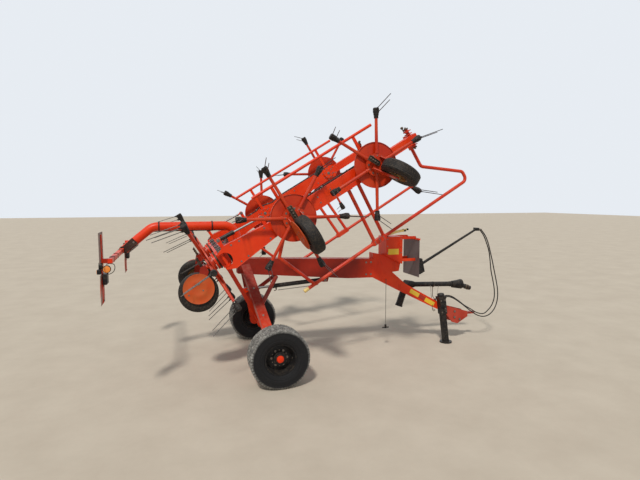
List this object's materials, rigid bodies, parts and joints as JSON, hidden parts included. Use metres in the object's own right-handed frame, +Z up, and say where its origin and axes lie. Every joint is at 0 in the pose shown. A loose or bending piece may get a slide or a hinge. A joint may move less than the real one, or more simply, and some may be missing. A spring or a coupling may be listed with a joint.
{
  "type": "hay tedder",
  "caption": "Trailed hay tedder on a two-wheel road carriage, its rotor frame tipped up and both wings folded, with tined rotors, gauge wheels, guard rails, drawbar and parking stand.",
  "frame": {"origin": "on the ground, under the middle of the object's box", "axes": "+X forward to the drawbar eye, +Y to the left, +Z up"},
  "size_m": [6.15, 3.434, 3.6542],
  "materials": {
    "paint": "orange-red paint, sun-faded and dusty",
    "paint_rail": "orange-red paint, chipped",
    "rotor_paint": "orange-red paint, faded",
    "black_steel": "black paint, dusty",
    "grey_sheet": "grey sheet, dusty",
    "board": "weathered board",
    "lamp": "amber and black lamp",
    "tyre": "dusty tyre",
    "rim": "dark dusty rim",
    "rod": "plated piston rod",
    "tine": "black tine holder and spring steel",
    "gauge": "small tyre on an ochre rim",
    "hose": "rubber hose",
    "cord": "braided cord"
  },
  "bodies": {
    "carriage": {"chassis_frame": "paint", "tow_hitch": "paint", "head_box": "paint", "front_board": "grey_sheet", "hose_carrier": "black_steel", "drive_shaft": "black_steel", "shaft_cradle": "black_steel", "stand_sleeve": "black_steel", "rear_boom": "paint", "rear_boards": "board", "rear_lamps": "lamp", "hose_near": "hose", "hose_far": "hose", "pull_cord": "cord", "cord_handle": "black_steel"},
    "wheel_left": {"tyre_left": "tyre", "rim_left": "rim"},
    "wheel_right": {"tyre_right": "tyre", "rim_right": "rim"},
    "stand": {"stand_leg": "black_steel"},
    "tip_cylinder": {"tip_barrel": "black_steel"},
    "tip_piston": {"tip_rod": "rod"},
    "rotor_frame": {"centre_frame": "paint", "centre_stays": "paint"},
    "wing_left": {"wing_beam_left": "paint", "wing_guard_left": "paint_rail", "wing_stays_left": "paint"},
    "fold_cylinder_left": {"fold_barrel_left": "black_steel"},
    "fold_piston_left": {"fold_rod_left": "rod"},
    "rotor_left_0": {"rotor_left_0": "rotor_paint", "tines_left_0": "tine"},
    "gauge_left_0": {"gauge_left_0": "gauge"},
    "rotor_left_1": {"rotor_left_1": "rotor_paint", "tines_left_1": "tine"},
    "gauge_left_1": {"gauge_left_1": "gauge"},
    "rotor_left_2": {"rotor_left_2": "rotor_paint", "tines_left_2": "tine"},
    "gauge_left_2": {"gauge_left_2": "gauge"},
    "wing_right": {"wing_beam_right": "paint", "wing_guard_right": "paint_rail", "wing_stays_right": "paint"},
    "fold_cylinder_right": {"fold_barrel_right": "black_steel"},
    "fold_piston_right": {"fold_rod_right": "rod"},
    "rotor_right_0": {"rotor_right_0": "rotor_paint", "tines_right_0": "tine"},
    "gauge_right_0": {"gauge_right_0": "gauge"},
    "rotor_right_1": {"rotor_right_1": "rotor_paint", "tines_right_1": "tine"},
    "gauge_right_1": {"gauge_right_1": "gauge"},
    "rotor_right_2": {"rotor_right_2": "rotor_paint", "tines_right_2": "tine"},
    "gauge_right_2": {"gauge_right_2": "gauge"}
  },
  "joints": [
    {"name": "wheel_left", "type": "hinge", "parent": "carriage", "child": "wheel_left", "pos_m": [-0.831, 1.1, 0.385], "axis": [0, 1, 0], "continuous": true},
    {"name": "wheel_right", "type": "hinge", "parent": "carriage", "child": "wheel_right", "pos_m": [-0.831, -1.1, 0.385], "axis": [0, 1, 0], "continuous": true},
    {"name": "stand_slide", "type": "slide", "parent": "carriage", "child": "stand", "axis": [-0.1392, 0, 0.9903], "range_m": [0, 0.35]},
    {"name": "frame_tip", "type": "hinge", "parent": "carriage", "child": "rotor_frame", "pos_m": [-0.817, 0, 0.448], "axis": [0, -1, 0], "range_deg": [0, 46.5]},
    {"name": "tip_swing", "type": "hinge", "parent": "carriage", "child": "tip_cylinder", "pos_m": [0.129, 0, 1.15], "axis": [0, -1, 0], "range_deg": [0, 12.44]},
    {"name": "tip_stroke", "type": "slide", "parent": "tip_cylinder", "child": "tip_piston", "axis": [-0.9974, 0, -0.072], "range_m": [0, 0.43044]},
    {"name": "wing_left_fold", "type": "hinge", "parent": "rotor_frame", "child": "wing_left", "pos_m": [-1.47179, 0.96, 1.6371], "axis": [-0.5225, 0, 0.8526], "range_deg": [0, 90]},
    {"name": "fold_swing_left", "type": "hinge", "parent": "rotor_frame", "child": "fold_cylinder_left", "pos_m": [-1.3763, 0.11, 1.69562], "axis": [-0.5225, 0, 0.8526], "range_deg": [0, 3.53]},
    {"name": "fold_stroke_left", "type": "slide", "parent": "fold_cylinder_left", "child": "fold_piston_left", "axis": [0.132, 0.9879, 0.0809], "range_m": [0, 0.42133]},
    {"name": "wing_right_fold", "type": "hinge", "parent": "rotor_frame", "child": "wing_right", "pos_m": [-1.47179, -0.96, 1.6371], "axis": [0.5225, 0, -0.8526], "range_deg": [0, 90]},
    {"name": "fold_swing_right", "type": "hinge", "parent": "rotor_frame", "child": "fold_cylinder_right", "pos_m": [-1.3763, -0.11, 1.69562], "axis": [0.5225, 0, -0.8526], "range_deg": [0, 3.53]},
    {"name": "fold_stroke_right", "type": "slide", "parent": "fold_cylinder_right", "child": "fold_piston_right", "axis": [0.132, -0.9879, 0.0809], "range_m": [0, 0.42133]},
    {"name": "rotor_left_0_spin", "type": "hinge", "parent": "rotor_frame", "child": "rotor_left_0", "pos_m": [-1.63379, 0.65, 1.53782], "axis": [0.8526, 0, 0.5225], "continuous": true},
    {"name": "gauge_left_0_spin", "type": "hinge", "parent": "rotor_frame", "child": "gauge_left_0", "pos_m": [-1.78316, 0.65, 1.18827], "axis": [0, 1, 0], "continuous": true},
    {"name": "rotor_left_1_spin", "type": "hinge", "parent": "wing_left", "child": "rotor_left_1", "pos_m": [-0.62768, 1.15, 2.15437], "axis": [0, -1, 0], "continuous": true},
    {"name": "gauge_left_1_spin", "type": "hinge", "parent": "wing_left", "child": "gauge_left_1", "pos_m": [-0.51273, 1.46, 1.96679], "axis": [0.8526, 0, 0.5225], "continuous": true},
    {"name": "rotor_left_2_spin", "type": "hinge", "parent": "wing_left", "child": "rotor_left_2", "pos_m": [0.48075, 1.15, 2.83362], "axis": [0, -1, 0], "continuous": true},
    {"name": "gauge_left_2_spin", "type": "hinge", "parent": "wing_left", "child": "gauge_left_2", "pos_m": [0.67031, 1.46, 2.72196], "axis": [0.5075, 0, 0.8616], "continuous": true},
    {"name": "rotor_right_0_spin", "type": "hinge", "parent": "rotor_frame", "child": "rotor_right_0", "pos_m": [-1.63379, -0.65, 1.53782], "axis": [0.8526, 0, 0.5225], "continuous": true},
    {"name": "gauge_right_0_spin", "type": "hinge", "parent": "rotor_frame", "child": "gauge_right_0", "pos_m": [-1.78316, -0.65, 1.18827], "axis": [0, 1, 0], "continuous": true},
    {"name": "rotor_right_1_spin", "type": "hinge", "parent": "wing_right", "child": "rotor_right_1", "pos_m": [-0.62768, -1.15, 2.15437], "axis": [0, 1, 0], "continuous": true},
    {"name": "gauge_right_1_spin", "type": "hinge", "parent": "wing_right", "child": "gauge_right_1", "pos_m": [-0.51273, -1.46, 1.96679], "axis": [0.8526, 0, 0.5225], "continuous": true},
    {"name": "rotor_right_2_spin", "type": "hinge", "parent": "wing_right", "child": "rotor_right_2", "pos_m": [0.48075, -1.15, 2.83362], "axis": [0, 1, 0], "continuous": true},
    {"name": "gauge_right_2_spin", "type": "hinge", "parent": "wing_right", "child": "gauge_right_2", "pos_m": [0.67031, -1.46, 2.72196], "axis": [0.5075, 0, 0.8616], "continuous": true}
  ],
  "couplings": [
    {"joint": "tip_swing", "follows": "frame_tip", "ratio": 0.26727},
    {"joint": "tip_stroke", "follows": "frame_tip", "m_per_rad": 0.52984},
    {"joint": "fold_swing_left", "follows": "wing_left_fold", "ratio": 0.039209},
    {"joint": "fold_stroke_left", "follows": "wing_left_fold", "m_per_rad": 0.26796},
    {"joint": "fold_swing_right", "follows": "wing_right_fold", "ratio": 0.039209},
    {"joint": "fold_stroke_right", "follows": "wing_right_fold", "m_per_rad": 0.26796},
    {"joint": "rotor_left_1_spin", "follows": "rotor_left_0_spin", "ratio": -1},
    {"joint": "rotor_left_2_spin", "follows": "rotor_left_0_spin", "ratio": 1},
    {"joint": "rotor_right_0_spin", "follows": "rotor_left_0_spin", "ratio": -1},
    {"joint": "rotor_right_1_spin", "follows": "rotor_left_0_spin", "ratio": 1},
    {"joint": "rotor_right_2_spin", "follows": "rotor_left_0_spin", "ratio": -1}
  ]
}
